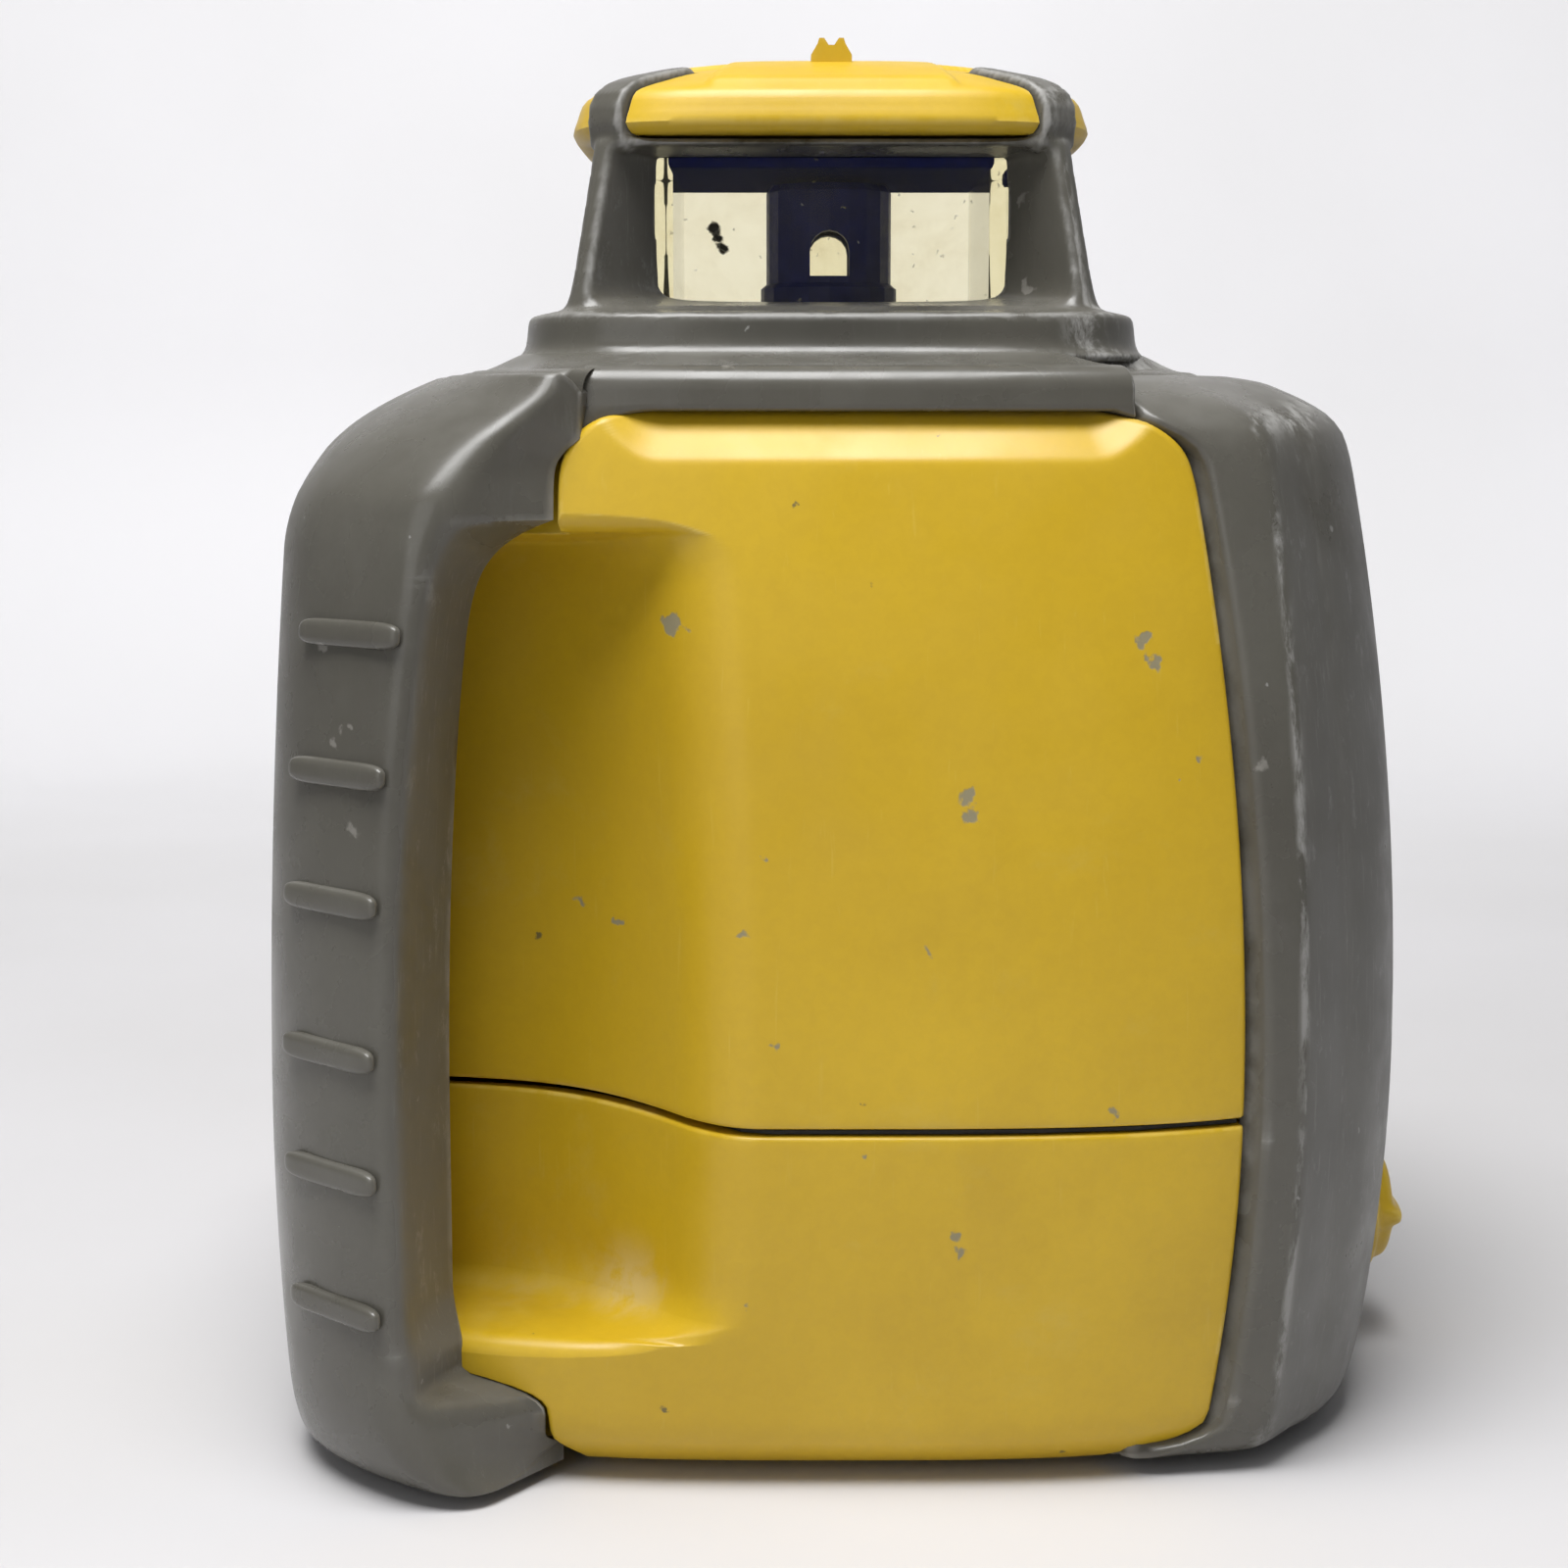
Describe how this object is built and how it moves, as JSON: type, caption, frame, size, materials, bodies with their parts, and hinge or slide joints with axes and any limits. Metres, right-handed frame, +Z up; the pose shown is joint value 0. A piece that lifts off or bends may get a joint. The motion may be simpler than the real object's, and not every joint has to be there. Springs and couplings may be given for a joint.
{
  "type": "rotary laser level",
  "caption": "Self-levelling rotary laser level: barrel-sided housing with a corner carry handle, a guarded glass head round a spinning prism, and a battery drawer with a turn knob.",
  "frame": {"origin": "middle of the footprint's bounding box, on the surface under the feet", "axes": "+Z up, -Y towards the near side with the carry handle on its left corner, +X towards the battery drawer"},
  "size_m": [0.2036, 0.1786, 0.2336],
  "materials": {
    "yellow_plastic": "fine moulded grain, worn satin",
    "olive_grey_plastic": "moulded grain, scuffed at the edges",
    "navy_plastic": "satin",
    "window_glass": "clear, lightly dusty",
    "black_rubber": "matt",
    "black_plastic": "matt",
    "white_acetal": "satin",
    "bright_steel": "turned",
    "cast_aluminium": "as cast",
    "turned_brass": "turned",
    "anodised_red": "anodised",
    "board_green": "solder resist",
    "cell_jacket": "plain dark sleeve",
    "lamp_lens": "clear green"
  },
  "bodies": {
    "housing": {"upper_housing": "yellow_plastic", "lower_housing": "yellow_plastic", "housing_gasket": "black_rubber", "right_cover": "olive_grey_plastic", "handle_cover": "olive_grey_plastic", "shoulder_cover": "olive_grey_plastic", "head_guard": "olive_grey_plastic", "top_cap": "yellow_plastic", "window_near": "window_glass", "window_far": "window_glass", "window_left": "window_glass", "window_right": "window_glass", "window_seal": "black_rubber", "lantern_ceiling": "navy_plastic", "chassis_plate": "cast_aluminium", "main_board": "board_green", "pivot_block_left": "black_plastic", "pivot_block_right": "black_plastic", "level_actuator_x": "bright_steel", "level_actuator_y": "bright_steel", "base_plate": "black_plastic", "tripod_insert": "turned_brass", "foot_near_left": "black_rubber", "foot_near_right": "black_rubber", "foot_far_left": "black_rubber", "foot_far_right": "black_rubber", "control_panel": "black_plastic", "status_lamp": "lamp_lens"},
    "tilt_ring": {"gimbal_ring": "cast_aluminium"},
    "tilt_frame": {"gimbal_frame": "cast_aluminium", "upper_bearing": "bright_steel", "lower_bearing": "bright_steel", "drive_motor": "bright_steel", "drive_belt": "black_rubber", "laser_module": "anodised_red"},
    "rotor": {"rotor_head": "navy_plastic", "pentaprism": "window_glass", "rotor_spindle": "bright_steel", "rotor_pulley": "white_acetal"},
    "motor_wheel": {"motor_pulley": "white_acetal"},
    "plunger_x": {"level_plunger_x": "bright_steel"},
    "plunger_y": {"level_plunger_y": "bright_steel"},
    "drawer": {"battery_door": "olive_grey_plastic", "battery_tray": "black_plastic", "cell_1": "cell_jacket", "cell_2": "cell_jacket", "cell_3": "cell_jacket", "cell_4": "cell_jacket", "front_contact": "turned_brass", "rear_contact": "turned_brass"},
    "latch": {"battery_knob": "yellow_plastic", "latch_cam": "bright_steel"},
    "power_key": {"power_button": "black_rubber"},
    "speed_key": {"speed_button": "black_rubber"},
    "mode_key": {"mode_button": "black_rubber"},
    "left_key": {"left_arrow_button": "black_rubber"},
    "right_key": {"right_arrow_button": "black_rubber"}
  },
  "joints": [
    {"name": "tilt_about_x", "type": "hinge", "parent": "housing", "child": "tilt_ring", "pos_m": [-0.0042, 0.0012, 0.143], "axis": [1, 0, 0], "range_deg": [-5, 5]},
    {"name": "tilt_about_y", "type": "hinge", "parent": "tilt_ring", "child": "tilt_frame", "pos_m": [-0.0042, 0.0012, 0.143], "axis": [0, 1, 0], "range_deg": [-5, 5]},
    {"name": "rotor_spin", "type": "hinge", "parent": "tilt_frame", "child": "rotor", "pos_m": [-0.0042, 0.0012, 0.143], "axis": [0, 0, 1], "continuous": true},
    {"name": "motor_spin", "type": "hinge", "parent": "tilt_frame", "child": "motor_wheel", "pos_m": [0.0178, 0.0012, 0.16], "axis": [0, 0, 1], "continuous": true},
    {"name": "plunger_x_lift", "type": "slide", "parent": "housing", "child": "plunger_x", "axis": [0, 0, 1], "range_m": [-0.0037, 0.0037]},
    {"name": "plunger_y_lift", "type": "slide", "parent": "housing", "child": "plunger_y", "axis": [0, 0, 1], "range_m": [-0.0025, 0.0025]},
    {"name": "drawer_slide", "type": "slide", "parent": "housing", "child": "drawer", "axis": [1, 0, 0], "range_m": [0, 0.12]},
    {"name": "knob_turn", "type": "hinge", "parent": "drawer", "child": "latch", "pos_m": [0.0898, 0.0012, 0.024], "axis": [1, 0, 0], "range_deg": [0, 90]},
    {"name": "power_press", "type": "slide", "parent": "housing", "child": "power_key", "axis": [0, -1, 0], "range_m": [0, 0.0012], "stiffness_N_per_m": 800},
    {"name": "speed_press", "type": "slide", "parent": "housing", "child": "speed_key", "axis": [0, -1, 0], "range_m": [0, 0.0012], "stiffness_N_per_m": 800},
    {"name": "mode_press", "type": "slide", "parent": "housing", "child": "mode_key", "axis": [0, -1, 0], "range_m": [0, 0.0012], "stiffness_N_per_m": 800},
    {"name": "left_press", "type": "slide", "parent": "housing", "child": "left_key", "axis": [0, -1, 0], "range_m": [0, 0.0012], "stiffness_N_per_m": 800},
    {"name": "right_press", "type": "slide", "parent": "housing", "child": "right_key", "axis": [0, -1, 0], "range_m": [0, 0.0012], "stiffness_N_per_m": 800}
  ],
  "couplings": [
    {"joint": "motor_spin", "follows": "rotor_spin", "ratio": 2.5306},
    {"joint": "plunger_x_lift", "follows": "tilt_about_x", "m_per_rad": 0.0415},
    {"joint": "plunger_y_lift", "follows": "tilt_about_y", "m_per_rad": 0.028}
  ]
}
